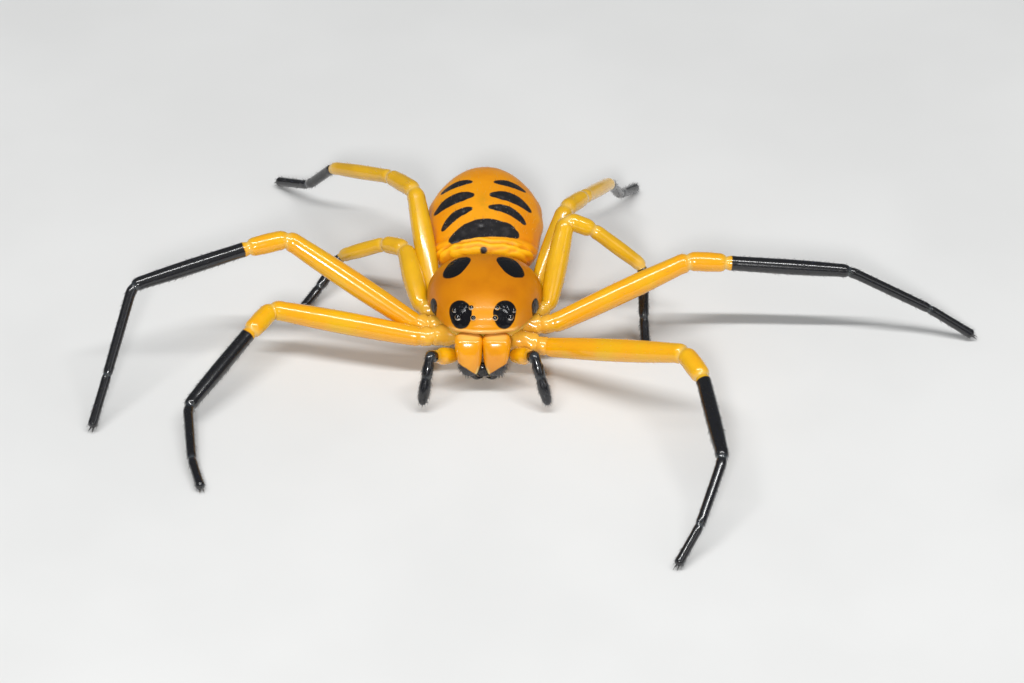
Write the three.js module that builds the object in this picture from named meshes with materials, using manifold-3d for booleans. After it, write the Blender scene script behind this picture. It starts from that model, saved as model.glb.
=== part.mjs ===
// Eight-spotted crab spider, adult female, at life size in millimetres.
// It faces -Y with +Z up. Its left side is +X. All eight feet stand on z = 0.

import * as THREE from "three";
import { mergeVertices } from "three/addons/utils/BufferGeometryUtils.js";
import Module from "manifold-3d";

const wasm = await Module();
wasm.setup();

// Driving sizes
const JOINT_GAP = 0.16;
const LIMB_SIDES = 10;
const FOOT_HEIGHT = 0.32;

// Head-and-chest shield: how far forward and back, half width, lower rim, top line
const CARAPACE_FRONT = -2.95;
const CARAPACE_REAR = 3.05;
const CARAPACE_STATIONS = [
  { y: -2.95, half: 1.2, rim: 3.52, top: 3.95 },
  { y: -2.75, half: 1.62, rim: 3.46, top: 4.3 },
  { y: -2.3, half: 1.95, rim: 3.36, top: 4.72 },
  { y: -1.4, half: 2.46, rim: 3.2, top: 5.12 },
  { y: -0.2, half: 3.0, rim: 3.12, top: 5.32 },
  { y: 0.9, half: 3.17, rim: 3.1, top: 5.34 },
  { y: 1.9, half: 2.92, rim: 3.1, top: 5.16 },
  { y: 2.6, half: 2.3, rim: 3.1, top: 4.72 },
  { y: 3.05, half: 1.3, rim: 3.12, top: 3.9 },
];

// Abdomen: centre height, half width and half height at each station
const ABDOMEN_STATIONS = [
  { y: 3.3, half: 1.5, mid: 3.45, rise: 0.85 },
  { y: 3.55, half: 2.35, mid: 3.45, rise: 1.15 },
  { y: 4.3, half: 2.82, mid: 3.42, rise: 1.42 },
  { y: 5.5, half: 3.08, mid: 3.48, rise: 1.75 },
  { y: 6.8, half: 3.22, mid: 3.55, rise: 2.0 },
  { y: 8.0, half: 3.16, mid: 3.6, rise: 2.08 },
  { y: 9.2, half: 2.72, mid: 3.62, rise: 1.98 },
  { y: 10.3, half: 2.0, mid: 3.58, rise: 1.64 },
  { y: 11.1, half: 1.28, mid: 3.48, rise: 1.06 },
  { y: 11.45, half: 0.7, mid: 3.42, rise: 0.58 },
];

// Leg joints of each leg, from the hip to the foot
const LEGS = {
  l1: {
    hip: [3.5, -2.25, 1.95],
    knee: [10.8, -6.1, 4.45],
    shin: [11.7, -7.9, 4.2],
    ankle: [12.6, -13.7, 3.3],
    instep: [11.3, -17.1, 1.5],
    foot: [10.1, -18.9, FOOT_HEIGHT],
  },
  r1: {
    hip: [-3.5, -1.85, 2.35],
    knee: [-11.7, 0.1, 2.8],
    shin: [-12.8, -1.7, 2.6],
    ankle: [-16.0, -6.6, 1.2],
    instep: [-15.6, -10.4, 0.6],
    foot: [-15.0, -12.5, FOOT_HEIGHT],
  },
  l2: {
    hip: [3.75, -0.75, 2.4],
    knee: [11.2, 2.0, 4.7],
    shin: [13.3, 2.1, 4.5],
    ankle: [20.1, 1.9, 4.1],
    instep: [24.6, 1.5, 1.8],
    foot: [27.1, 1.0, FOOT_HEIGHT],
  },
  r2: {
    hip: [-3.75, -0.75, 2.4],
    knee: [-10.8, 1.6, 6.5],
    shin: [-12.9, 1.0, 6.3],
    ankle: [-19.1, -1.5, 5.6],
    instep: [-20.4, -5.2, 2.3],
    foot: [-21.2, -7.3, FOOT_HEIGHT],
  },
  l3: {
    hip: [3.5, 0.6, 2.5],
    knee: [4.5, 4.1, 6.0],
    shin: [6.0, 4.0, 5.4],
    ankle: [8.8, 3.4, 3.3],
    instep: [8.8, 1.2, 1.4],
    foot: [8.9, 0.1, FOOT_HEIGHT],
  },
  r3: {
    hip: [-3.5, 0.6, 2.5],
    knee: [-4.4, 4.3, 3.9],
    shin: [-5.6, 5.3, 3.5],
    ankle: [-8.1, 6.5, 1.8],
    instep: [-9.3, 4.8, 0.8],
    foot: [-10.2, 3.5, FOOT_HEIGHT],
  },
  l4: {
    hip: [2.85, 1.9, 2.5],
    knee: [4.5, 6.0, 5.4],
    shin: [5.5, 7.8, 4.9],
    ankle: [7.1, 11.6, 3.2],
    instep: [7.7, 13.2, 1.3],
    foot: [8.7, 15.3, FOOT_HEIGHT],
  },
  r4: {
    hip: [-2.85, 1.9, 2.5],
    knee: [-3.9, 7.2, 5.8],
    shin: [-5.3, 9.1, 5.4],
    ankle: [-8.7, 12.7, 3.5],
    instep: [-10.2, 14.0, 1.4],
    foot: [-12.1, 15.9, FOOT_HEIGHT],
  },
};
const JOINT_ORDER = ["hip", "knee", "shin", "ankle", "instep", "foot"];
const SEGMENTS = ["femur", "patella", "tibia", "metatarsus", "tarsus"];

// Radius of each segment at its near end, its middle and its far end
const FRONT_THICKNESS = {
  femur: [0.5, 0.62, 0.5],
  patella: [0.47, 0.52, 0.45],
  tibia: [0.39, 0.42, 0.35],
  metatarsus: [0.29, 0.28, 0.26],
  tarsus: [0.25, 0.25, 0.28],
};
const REAR_THICKNESS = {
  femur: [0.42, 0.575, 0.45],
  patella: [0.43, 0.47, 0.41],
  tibia: [0.38, 0.42, 0.35],
  metatarsus: [0.3, 0.29, 0.27],
  tarsus: [0.26, 0.26, 0.28],
};

const CLAW_LENGTH = 0.42;
const CLAW_RADIUS = 0.1;
const CLAW_SPREAD = 0.12;

// Eyes: place on the left side as x and y, and bead radius
const EYES = {
  ame: { x: 0.59, y: -2.72, radius: 0.14 },
  ale: { x: 1.42, y: -2.52, radius: 0.19 },
  pme: { x: 0.7, y: -2.28, radius: 0.13 },
  ple: { x: 1.6, y: -2.12, radius: 0.15 },
};

// Colours
const ORANGE = new THREE.MeshStandardMaterial({ color: 0xcd8205, roughness: 0.35, metalness: 0 });
const AMBER = new THREE.MeshStandardMaterial({ color: 0xe29a08, roughness: 0.35, metalness: 0 });
const YELLOW = new THREE.MeshStandardMaterial({ color: 0xd7aa14, roughness: 0.35, metalness: 0 });
const BLACK = new THREE.MeshStandardMaterial({ color: 0x0b0b0d, roughness: 0.3, metalness: 0 });
const BEAD = new THREE.MeshStandardMaterial({ color: 0x050505, roughness: 0.08, metalness: 0 });

const model = new THREE.Group();

function vec(place) {
  return new THREE.Vector3(place[0], place[1], place[2]);
}

// Welds the seam of a shape and drops faces of no area
function welded(geometry) {
  const plain = geometry.index ? geometry.toNonIndexed() : geometry.clone();
  plain.deleteAttribute("normal");
  plain.deleteAttribute("uv");
  const whole = mergeVertices(plain, 1e-4);
  const source = whole.index.array;
  const kept = [];
  for (let i = 0; i < source.length; i += 3) {
    const a = source[i];
    const b = source[i + 1];
    const c = source[i + 2];
    if (a !== b && b !== c && a !== c) {
      kept.push(a, b, c);
    }
  }
  whole.setIndex(kept);
  return whole;
}

function toSolid(geometry) {
  const whole = welded(geometry);
  const vertProperties = new Float32Array(whole.attributes.position.array);
  const triVerts = new Uint32Array(whole.index.array);
  return new wasm.Manifold(new wasm.Mesh({ numProp: 3, vertProperties, triVerts }));
}

// The largest closed surface of a joined or cut solid, as a geometry
function fromSolid(solid) {
  const pieces = solid.decompose();
  let largest = pieces[0];
  for (const piece of pieces) {
    if (piece.volume() > largest.volume()) {
      largest = piece;
    }
  }
  const mesh = largest.getMesh();
  const geometry = new THREE.BufferGeometry();
  geometry.setAttribute("position", new THREE.BufferAttribute(new Float32Array(mesh.vertProperties), 3));
  geometry.setIndex(Array.from(mesh.triVerts));
  return geometry;
}

function addPiece(name, geometry, material) {
  const shape = welded(geometry);
  shape.computeVertexNormals();
  const mesh = new THREE.Mesh(shape, material.clone());
  mesh.name = name;
  model.add(mesh);
  return mesh;
}

// Smooth value between stations, for a key read against the distance along
function between(stations, along, key, axis = "y") {
  let i = 0;
  while (i < stations.length - 2 && along > stations[i + 1][axis]) {
    i += 1;
  }
  const a = stations[i];
  const b = stations[i + 1];
  const before = stations[Math.max(0, i - 1)];
  const after = stations[Math.min(stations.length - 1, i + 2)];
  const span = b[axis] - a[axis];
  const t = Math.min(1, Math.max(0, (along - a[axis]) / span));
  const slopeA = i === 0 ? (b[key] - a[key]) / span : (b[key] - before[key]) / (b[axis] - before[axis]);
  const last = i + 2 > stations.length - 1;
  const slopeB = last ? (b[key] - a[key]) / span : (after[key] - a[key]) / (after[axis] - a[axis]);
  const t2 = t * t;
  const t3 = t2 * t;
  return (2 * t3 - 3 * t2 + 1) * a[key] + (t3 - 2 * t2 + t) * span * slopeA
    + (3 * t2 - 2 * t3) * b[key] + (t3 - t2) * span * slopeB;
}

// A closed drum of rings, each vertex handed to a shaping function as
// (share of the length, angle round the axis, share of the radius)
function shapedDrum(sides, rows, place) {
  const drum = new THREE.CylinderGeometry(1, 1, 1, sides, rows);
  const spots = drum.attributes.position;
  for (let i = 0; i < spots.count; i += 1) {
    const share = 0.5 - spots.getY(i);
    const reach = Math.min(1, Math.hypot(spots.getX(i), spots.getZ(i)));
    const angle = Math.atan2(spots.getZ(i), spots.getX(i));
    const spot = place(share, angle, reach);
    spots.setXYZ(i, spot.x, spot.y, spot.z);
  }
  return drum;
}

// Rounds a power curve of sine or cosine so that a section can be squarer
function squared(value, power) {
  return Math.sign(value) * Math.abs(value) ** power;
}

// The height of the shield's top over a place in plan
function shieldTop(x, y) {
  const half = between(CARAPACE_STATIONS, y, "half");
  const rim = between(CARAPACE_STATIONS, y, "rim");
  const top = between(CARAPACE_STATIONS, y, "top");
  const side = Math.min(1, Math.abs(x) / half);
  return rim + (top - rim) * (1 - side ** 2.3) ** (1 / 2.3);
}

function carapaceGeometry() {
  const rows = 16;
  return shapedDrum(24, rows, (share, angle, reach) => {
    const eased = 0.5 - 0.5 * Math.cos(Math.PI * share);
    const y = CARAPACE_FRONT + (CARAPACE_REAR - CARAPACE_FRONT) * (0.6 * share + 0.4 * eased);
    const half = between(CARAPACE_STATIONS, y, "half");
    const rim = between(CARAPACE_STATIONS, y, "rim");
    const top = between(CARAPACE_STATIONS, y, "top");
    const across = squared(Math.cos(angle), 0.87) * half * reach;
    const up = squared(Math.sin(angle), 0.87) * reach;
    const z = up >= 0 ? rim + (top - rim) * up : rim + 0.06 * up;
    return new THREE.Vector3(-across, y, z);
  });
}

function abdomenGeometry() {
  const front = ABDOMEN_STATIONS[0].y;
  const rear = ABDOMEN_STATIONS[ABDOMEN_STATIONS.length - 1].y;
  return shapedDrum(24, 16, (share, angle, reach) => {
    const eased = 0.5 - 0.5 * Math.cos(Math.PI * share);
    const y = front + (rear - front) * (0.5 * share + 0.5 * eased);
    const half = between(ABDOMEN_STATIONS, y, "half");
    const mid = between(ABDOMEN_STATIONS, y, "mid");
    const rise = between(ABDOMEN_STATIONS, y, "rise");
    const up = squared(Math.sin(angle), 0.92) * rise * reach;
    return new THREE.Vector3(-squared(Math.cos(angle), 0.92) * half * reach, y, mid + up);
  });
}

// A straight limb with rounded ends between two places
function limbGeometry(start, finish, radii, sides = LIMB_SIDES, roundStart = true) {
  const axis = finish.clone().sub(start);
  const length = axis.length();
  axis.normalize();
  const side = new THREE.Vector3(0, 0, 1).cross(axis);
  if (side.length() < 0.05) {
    side.set(1, 0, 0);
  }
  side.normalize();
  const up = axis.clone().cross(side);
  const nearRound = roundStart ? radii[0] : radii[0] * 0.4;
  const marks = [
    { at: 0, fill: 0.45 },
    { at: nearRound * 0.4, fill: 0.86 },
    { at: nearRound, fill: 1 },
    { at: length * 0.5, fill: 1 },
    { at: length - radii[2], fill: 1 },
    { at: length - radii[2] * 0.4, fill: 0.86 },
    { at: length, fill: 0.45 },
  ];
  return shapedDrum(sides, marks.length - 1, (share, angle, reach) => {
    const mark = marks[Math.round(share * (marks.length - 1))];
    const part = mark.at / length;
    const thick = part < 0.5
      ? radii[0] + (radii[1] - radii[0]) * Math.sin(Math.PI * part)
      : radii[2] + (radii[1] - radii[2]) * Math.sin(Math.PI * part);
    const radius = thick * mark.fill * reach;
    return start.clone()
      .addScaledVector(axis, mark.at)
      .addScaledVector(side, Math.cos(angle) * radius)
      .addScaledVector(up, Math.sin(angle) * radius);
  });
}

// A rounded limb that follows a smooth curve through its places
function bentLimbGeometry(places, radii, rows = 14, sides = LIMB_SIDES) {
  const line = new THREE.CatmullRomCurve3(places, false, "centripetal");
  const length = line.getLength();
  const frames = line.computeFrenetFrames(rows, false);
  return shapedDrum(sides, rows, (share, angle, reach) => {
    const row = Math.round(share * rows);
    const centre = line.getPointAt(row / rows);
    const place = (row / rows) * (radii.length - 1);
    const low = Math.min(radii.length - 2, Math.floor(place));
    const thick = radii[low] + (radii[low + 1] - radii[low]) * (place - low);
    const toEnd = Math.min(row, rows - row) / rows * length;
    const inset = Math.max(0, 1 - (toEnd + 0.06) / (thick + 0.06));
    const radius = thick * Math.sqrt(1 - inset * inset) * reach;
    return centre
      .addScaledVector(frames.normals[row], Math.cos(angle) * radius)
      .addScaledVector(frames.binormals[row], Math.sin(angle) * radius);
  });
}

// How far a segment stops short of a joint, so that bent neighbours stay clear
function setback(before, joint, after, radius) {
  const inward = before.clone().sub(joint).normalize();
  const outward = after.clone().sub(joint).normalize();
  const opening = inward.angleTo(outward);
  return (radius + JOINT_GAP / 2) / Math.sin(opening / 2) - radius;
}

// Presses everything below the floor up to it, so that a foot has a flat sole
function standOnFloor(geometry) {
  const spots = geometry.attributes.position;
  for (let i = 0; i < spots.count; i += 1) {
    spots.setZ(i, Math.max(0, spots.getZ(i)));
  }
  return geometry;
}

function clawGeometry(tip, heading, sideways, offset) {
  const claw = new THREE.ConeGeometry(CLAW_RADIUS, CLAW_LENGTH, 6);
  const aim = heading.clone().addScaledVector(sideways, offset * 1.4);
  aim.z = -0.12;
  aim.normalize();
  const turn = new THREE.Quaternion().setFromUnitVectors(new THREE.Vector3(0, 1, 0), aim);
  claw.applyQuaternion(turn);
  const middle = tip.clone()
    .addScaledVector(sideways, offset)
    .addScaledVector(aim, CLAW_LENGTH * 0.3);
  middle.z = Math.max(middle.z, 0.2);
  claw.translate(middle.x, middle.y, middle.z);
  return claw;
}

function buildLeg(name, joints, thickness) {
  const places = JOINT_ORDER.map((key) => vec(joints[key]));
  SEGMENTS.forEach((segment, i) => {
    const start = places[i].clone();
    const finish = places[i + 1].clone();
    const heading = finish.clone().sub(start).normalize();
    const radii = thickness[segment];
    if (i === 0) {
      start.addScaledVector(heading, JOINT_GAP);
    } else {
      start.addScaledVector(heading, setback(places[i - 1], places[i], places[i + 1], radii[0]));
    }
    if (i < SEGMENTS.length - 1) {
      finish.addScaledVector(heading, -setback(places[i], places[i + 1], places[i + 2], radii[2]));
    }
    let shape = limbGeometry(start, finish, radii);
    let material = YELLOW;
    if (segment === "femur" || segment === "patella") {
      material = AMBER;
    }
    if (segment === "metatarsus" || segment === "tarsus") {
      material = BLACK;
    }
    if (segment === "tibia" && (name.endsWith("1") || name.endsWith("2"))) {
      material = BLACK;
    }
    if (segment === "tarsus") {
      shape = standOnFloor(shape);
      const sideways = new THREE.Vector3(0, 0, 1).cross(heading).normalize();
      const flatHeading = heading.clone().setZ(0).normalize();
      const paw = toSolid(shape)
        .add(toSolid(clawGeometry(finish, flatHeading, sideways, CLAW_SPREAD)))
        .add(toSolid(clawGeometry(finish, flatHeading, sideways, -CLAW_SPREAD)));
      shape = fromSolid(paw);
    }
    addPiece(`${name}_${segment}`, shape, material);
  });
}

function ellipsoid(centre, half, sides = 20, rows = 12) {
  const ball = new THREE.SphereGeometry(1, sides, rows);
  ball.scale(half[0], half[1], half[2]);
  ball.translate(centre[0], centre[1], centre[2]);
  return ball;
}

// Breastplate with the eight hip blocks, the jaw lobes and the lip grown from it
function sternumGeometry() {
  let body = toSolid(ellipsoid([0, 0.25, 2.2], [1.75, 2.25, 0.62], 18, 8));
  for (const [name, joints] of Object.entries(LEGS)) {
    const hip = vec(joints.hip);
    const pair = Number(name[1]);
    const root = new THREE.Vector3(hip.x * 0.25, hip.y * 0.62, 2.1);
    const stop = hip.clone().addScaledVector(hip.clone().sub(root).normalize(), -0.12);
    const girth = pair < 3 ? [0.45, 0.52, 0.46] : [0.4, 0.47, 0.42];
    body = body.add(toSolid(limbGeometry(root, stop, girth)));
  }
  for (const side of [-1, 1]) {
    const lobe = ellipsoid([side * 0.85, -2.15, 1.7], [0.5, 0.6, 0.34], 10, 6);
    body = body.add(toSolid(lobe));
  }
  body = body.add(toSolid(ellipsoid([0, -2.0, 1.7], [0.4, 0.5, 0.28], 10, 6)));
  return fromSolid(body);
}

const palpPlaces = {
  root: [1.92, -2.95, 1.95],
  elbow: [2.5, -3.8, 2.7],
  wrist: [2.85, -4.5, 3.05],
  fold: [3.1, -4.95, 2.0],
  tip: [3.5, -5.55, 0.5],
};

function mirrored(place, side) {
  return new THREE.Vector3(place[0] * side, place[1], place[2]);
}

function buildPalp(side, suffix) {
  const root = mirrored(palpPlaces.root, side);
  const elbow = mirrored(palpPlaces.elbow, side);
  const wrist = mirrored(palpPlaces.wrist, side);
  const fold = mirrored(palpPlaces.fold, side);
  const tip = mirrored(palpPlaces.tip, side);
  const base = limbGeometry(root, elbow, [0.35, 0.42, 0.35]);
  addPiece(`palp_base_${suffix}`, base, YELLOW);
  const along = wrist.clone().sub(elbow).normalize();
  const start = elbow.clone().addScaledVector(along, 0.2);
  const rise = wrist.clone().addScaledVector(along, 0.05);
  addPiece(`palp_tip_${suffix}`, bentLimbGeometry([start, rise, fold, tip], [0.32, 0.37, 0.33, 0.27]), BLACK);
}

// Jaw block: wide at the face, narrowing to its tip, leaning forward
function cheliceraGeometry(side) {
  const stations = [
    { s: 0, x: 0.72, y: -3.0, z: 3.22, wide: 0.3, deep: 0.25 },
    { s: 0.12, x: 0.78, y: -3.05, z: 3.08, wide: 0.62, deep: 0.5 },
    { s: 0.35, x: 0.79, y: -3.2, z: 2.6, wide: 0.7, deep: 0.62 },
    { s: 0.65, x: 0.74, y: -3.35, z: 1.95, wide: 0.66, deep: 0.58 },
    { s: 0.88, x: 0.64, y: -3.42, z: 1.35, wide: 0.52, deep: 0.42 },
    { s: 1, x: 0.56, y: -3.4, z: 1.12, wide: 0.28, deep: 0.22 },
  ];
  return shapedDrum(14, 8, (share, angle, reach) => {
    const x = between(stations, share, "x", "s");
    const y = between(stations, share, "y", "s");
    const z = between(stations, share, "z", "s");
    const wide = between(stations, share, "wide", "s") * reach;
    const deep = between(stations, share, "deep", "s") * reach;
    const across = squared(Math.cos(angle), 0.85) * wide;
    return new THREE.Vector3(side * x - across, y + squared(Math.sin(angle), 0.85) * deep, z);
  });
}

function fangGeometry(side) {
  const start = new THREE.Vector3(side * 0.62, -3.3, 0.86);
  const finish = new THREE.Vector3(side * 0.16, -3.12, 0.72);
  return limbGeometry(start, finish, [0.17, 0.13, 0.07], 8);
}

function spinneretGeometry() {
  let group = toSolid(ellipsoid([0, 11.85, 3.25], [0.42, 0.26, 0.34], 12, 8));
  for (const [x, z] of [[0.2, 3.42], [-0.2, 3.42], [0.2, 3.06], [-0.2, 3.06]]) {
    const start = new THREE.Vector3(x, 11.8, z);
    const finish = new THREE.Vector3(x * 1.15, 12.4, z - 0.02);
    group = group.add(toSolid(limbGeometry(start, finish, [0.16, 0.14, 0.09], 8)));
  }
  return fromSolid(group);
}

addPiece("carapace", carapaceGeometry(), ORANGE);
addPiece("sternum", sternumGeometry(), YELLOW);
addPiece("abdomen", abdomenGeometry(), AMBER);
addPiece("spinnerets", spinneretGeometry(), AMBER);

for (const [suffix, side] of [["l", 1], ["r", -1]]) {
  addPiece(`chelicera_${suffix}`, cheliceraGeometry(side), ORANGE);
  addPiece(`fang_${suffix}`, fangGeometry(side), BLACK);
  buildPalp(side, suffix);
  for (const [eye, spec] of Object.entries(EYES)) {
    const lift = spec.radius * 0.55;
    const height = shieldTop(spec.x, spec.y) + lift * 0.8;
    const centre = [side * spec.x, spec.y - lift * 0.6, height];
    addPiece(`eye_${eye}_${suffix}`, ellipsoid(centre, [spec.radius, spec.radius, spec.radius], 8, 6), BEAD);
  }
}

for (const [name, joints] of Object.entries(LEGS)) {
  const front = name.endsWith("1") || name.endsWith("2");
  buildLeg(name, joints, front ? FRONT_THICKNESS : REAR_THICKNESS);
}

// The origin is the middle of the whole outline, on the floor
const extent = new THREE.Box3().setFromObject(model, true);
const middle = extent.getCenter(new THREE.Vector3());
model.position.set(-middle.x, -middle.y, -extent.min.z);

export default model;
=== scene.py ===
"""Looks of the eight-spotted crab spider: skins, eyes, claws, bristles, floor, light and camera.

Shapes are worked out in millimetres in the spider's own frame: it faces -Y, +Z is up and its
left side is +X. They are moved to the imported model's frame when their meshes are made.
"""

import math

import bmesh
import bpy
import numpy as np
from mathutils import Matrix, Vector


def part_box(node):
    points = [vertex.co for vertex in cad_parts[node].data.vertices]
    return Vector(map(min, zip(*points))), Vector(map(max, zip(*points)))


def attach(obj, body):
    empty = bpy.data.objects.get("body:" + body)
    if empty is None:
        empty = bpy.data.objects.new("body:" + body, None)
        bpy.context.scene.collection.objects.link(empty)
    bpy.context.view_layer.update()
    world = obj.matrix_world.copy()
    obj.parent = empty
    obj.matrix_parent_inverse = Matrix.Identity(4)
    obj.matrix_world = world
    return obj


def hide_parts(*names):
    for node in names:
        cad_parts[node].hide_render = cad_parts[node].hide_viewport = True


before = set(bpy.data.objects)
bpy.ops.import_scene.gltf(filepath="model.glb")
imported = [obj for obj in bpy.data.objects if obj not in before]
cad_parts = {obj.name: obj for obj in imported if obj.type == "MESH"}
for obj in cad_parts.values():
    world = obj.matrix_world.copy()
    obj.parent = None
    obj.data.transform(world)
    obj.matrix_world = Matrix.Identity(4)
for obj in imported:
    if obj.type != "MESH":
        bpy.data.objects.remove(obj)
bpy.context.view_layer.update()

MM = 0.001

# Sizes shared with the solids, in millimetres
SHIELD_LINE = {
    "y": [-2.95, -2.75, -2.3, -1.4, -0.2, 0.9, 1.9, 2.6, 3.05],
    "half": [1.2, 1.62, 1.95, 2.46, 3.0, 3.17, 2.92, 2.3, 1.3],
    "rim": [3.52, 3.46, 3.36, 3.2, 3.12, 3.1, 3.1, 3.1, 3.12],
    "top": [3.95, 4.3, 4.72, 5.12, 5.32, 5.34, 5.16, 4.72, 3.9],
}
ABDOMEN_LINE = {
    "y": [3.3, 3.55, 4.3, 5.5, 6.8, 8.0, 9.2, 10.3, 11.1, 11.45],
    "half": [1.5, 2.35, 2.82, 3.08, 3.22, 3.16, 2.72, 2.0, 1.28, 0.7],
    "mid": [3.45, 3.45, 3.42, 3.48, 3.55, 3.6, 3.62, 3.58, 3.48, 3.42],
    "rise": [0.85, 1.15, 1.42, 1.75, 2.0, 2.08, 1.98, 1.64, 1.06, 0.58],
}
# The skins round off a little past the solids' first and last stations
SHIELD_ENDS = (-3.08, 3.16)
ABDOMEN_ENDS = (3.2, 11.62)
FOOT_HEIGHT = 0.32
LEG_JOINTS = {
    "l1": [(3.5, -2.25, 1.95), (10.8, -6.1, 4.45), (11.7, -7.9, 4.2), (12.6, -13.7, 3.3),
           (11.3, -17.1, 1.5), (10.1, -18.9, FOOT_HEIGHT)],
    "r1": [(-3.5, -1.85, 2.35), (-11.7, 0.1, 2.8), (-12.8, -1.7, 2.6), (-16.0, -6.6, 1.2),
           (-15.6, -10.4, 0.6), (-15.0, -12.5, FOOT_HEIGHT)],
    "l2": [(3.75, -0.75, 2.4), (11.2, 2.0, 4.7), (13.3, 2.1, 4.5), (20.1, 1.9, 4.1),
           (24.6, 1.5, 1.8), (27.1, 1.0, FOOT_HEIGHT)],
    "r2": [(-3.75, -0.75, 2.4), (-10.8, 1.6, 6.5), (-12.9, 1.0, 6.3), (-19.1, -1.5, 5.6),
           (-20.4, -5.2, 2.3), (-21.2, -7.3, FOOT_HEIGHT)],
    "l3": [(3.5, 0.6, 2.5), (4.5, 4.1, 6.0), (6.0, 4.0, 5.4), (8.8, 3.4, 3.3),
           (8.8, 1.2, 1.4), (8.9, 0.1, FOOT_HEIGHT)],
    "r3": [(-3.5, 0.6, 2.5), (-4.4, 4.3, 3.9), (-5.6, 5.3, 3.5), (-8.1, 6.5, 1.8),
           (-9.3, 4.8, 0.8), (-10.2, 3.5, FOOT_HEIGHT)],
    "l4": [(2.85, 1.9, 2.5), (4.5, 6.0, 5.4), (5.5, 7.8, 4.9), (7.1, 11.6, 3.2),
           (7.7, 13.2, 1.3), (8.7, 15.3, FOOT_HEIGHT)],
    "r4": [(-2.85, 1.9, 2.5), (-3.9, 7.2, 5.8), (-5.3, 9.1, 5.4), (-8.7, 12.7, 3.5),
           (-10.2, 14.0, 1.4), (-12.1, 15.9, FOOT_HEIGHT)],
}
SEGMENTS = ["femur", "patella", "tibia", "metatarsus", "tarsus"]
FRONT_THICKNESS = [(0.53, 0.63, 0.52), (0.49, 0.55, 0.46), (0.4, 0.43, 0.35),
                   (0.29, 0.28, 0.26), (0.25, 0.25, 0.27)]
REAR_THICKNESS = [(0.45, 0.6, 0.47), (0.45, 0.49, 0.42), (0.39, 0.42, 0.35),
                  (0.3, 0.29, 0.27), (0.26, 0.26, 0.27)]
# From the hip back to the seam between coxa and trochanter
COXA_SEAM = 0.62
PALP_PLACES = {
    "l": [(1.7, -2.75, 1.75), (2.54, -3.8, 2.5), (2.76, -4.4, 2.92), (3.05, -4.95, 2.0),
          (3.48, -5.55, 0.5)],
    "r": [(-1.75, -2.75, 1.75), (-2.7, -3.8, 2.5), (-2.95, -4.35, 2.88), (-3.12, -4.95, 2.0),
          (-3.38, -5.55, 0.5)],
}
EYES = {
    "ame": {"x": 0.59, "y": -2.72, "radius": 0.14},
    "ale": {"x": 1.42, "y": -2.52, "radius": 0.19},
    "pme": {"x": 0.7, "y": -2.28, "radius": 0.13},
    "ple": {"x": 1.6, "y": -2.12, "radius": 0.15},
}
# The face and jaws sit a little to the animal's right of the middle, the rear spots less so
FACE_MIDDLE = -0.09
SPOT_MIDDLE = -0.05

# The camera of the photograph: height angle in degrees, place in millimetres, focal length
VIEW_ELEVATION = 37.0
CAMERA_PLACE = (1.509, -201.03, 152.14)
PIXELS_ACROSS = 1024
FOCAL_PIXELS = 4556.5
SENSOR = 36.0

# Where the spider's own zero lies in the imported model's frame
shield_low, shield_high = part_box("carapace")
ORIGIN = Vector(((shield_low.x + shield_high.x) / 2, shield_low.y - SHIELD_LINE["y"][0] * MM,
                 0.0))


def frame_points(points):
    """Spider millimetres to frame metres."""
    return np.asarray(points, float) * MM + np.array(ORIGIN)


# Shape helpers


def between(line, along, key):
    """Smooth value of a body line at a distance along it."""
    spots = np.array(line["y"], float)
    values = np.array(line[key], float)
    along = np.asarray(along, float)
    i = np.clip(np.searchsorted(spots, along) - 1, 0, len(spots) - 2)
    last = len(spots) - 1
    span = spots[i + 1] - spots[i]
    t = np.clip((along - spots[i]) / span, 0, 1)
    before = np.maximum(i - 1, 0)
    after = np.minimum(i + 2, last)
    slope_a = (values[i + 1] - values[before]) / (spots[i + 1] - spots[before])
    slope_b = (values[after] - values[i]) / (spots[after] - spots[i])
    return ((2 * t**3 - 3 * t**2 + 1) * values[i] + (t**3 - 2 * t**2 + t) * span * slope_a
            + (3 * t**2 - 2 * t**3) * values[i + 1] + (t**3 - t**2) * span * slope_b)


def squared(value, power):
    return np.sign(value) * np.abs(value) ** power


def smooth(low, high, value):
    t = np.clip((np.asarray(value, float) - low) / (high - low), 0, 1)
    return t * t * (3 - 2 * t)


def unit(v):
    v = np.asarray(v, float)
    return v / max(1e-9, np.linalg.norm(v))


def hump(value, middle, width):
    """1 at the middle, falling off to 0 on both sides."""
    return np.exp(-(((value - middle) / width) ** 2))


def round_end(distance, reach):
    """0 at an end and 1 beyond its reach, rising as a quarter circle does."""
    share = np.clip(distance / reach, 0, 1)
    return np.sqrt(1 - (1 - share) ** 2)


def line_end(along, start, stop, nose, tail):
    """Rounds a body line off to nothing at both ends."""
    return round_end(along - start, nose) * round_end(stop - along, tail)


def row_places(start, stop, rows):
    """Rows along a body, closer together near its ends, without the ends themselves."""
    share = 0.5 - 0.5 * np.cos(np.pi * np.linspace(0, 1, rows))
    return (start + (stop - start) * share)[1:-1]


def ring_angles(sides):
    return np.linspace(0, 2 * np.pi, sides, endpoint=False)


def flat_places(turn, along):
    """Unwrap of a skin from its share of a turn and of its length, with a margin all round."""
    return np.stack([0.02 + 0.96 * turn, 0.02 + 0.96 * along], -1)


def unwrap(rise, across, along):
    """Unwrap about an axis, from the place across it and the share of the length."""
    return flat_places(0.5 + np.arctan2(rise, across) / (2 * np.pi), along)


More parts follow.
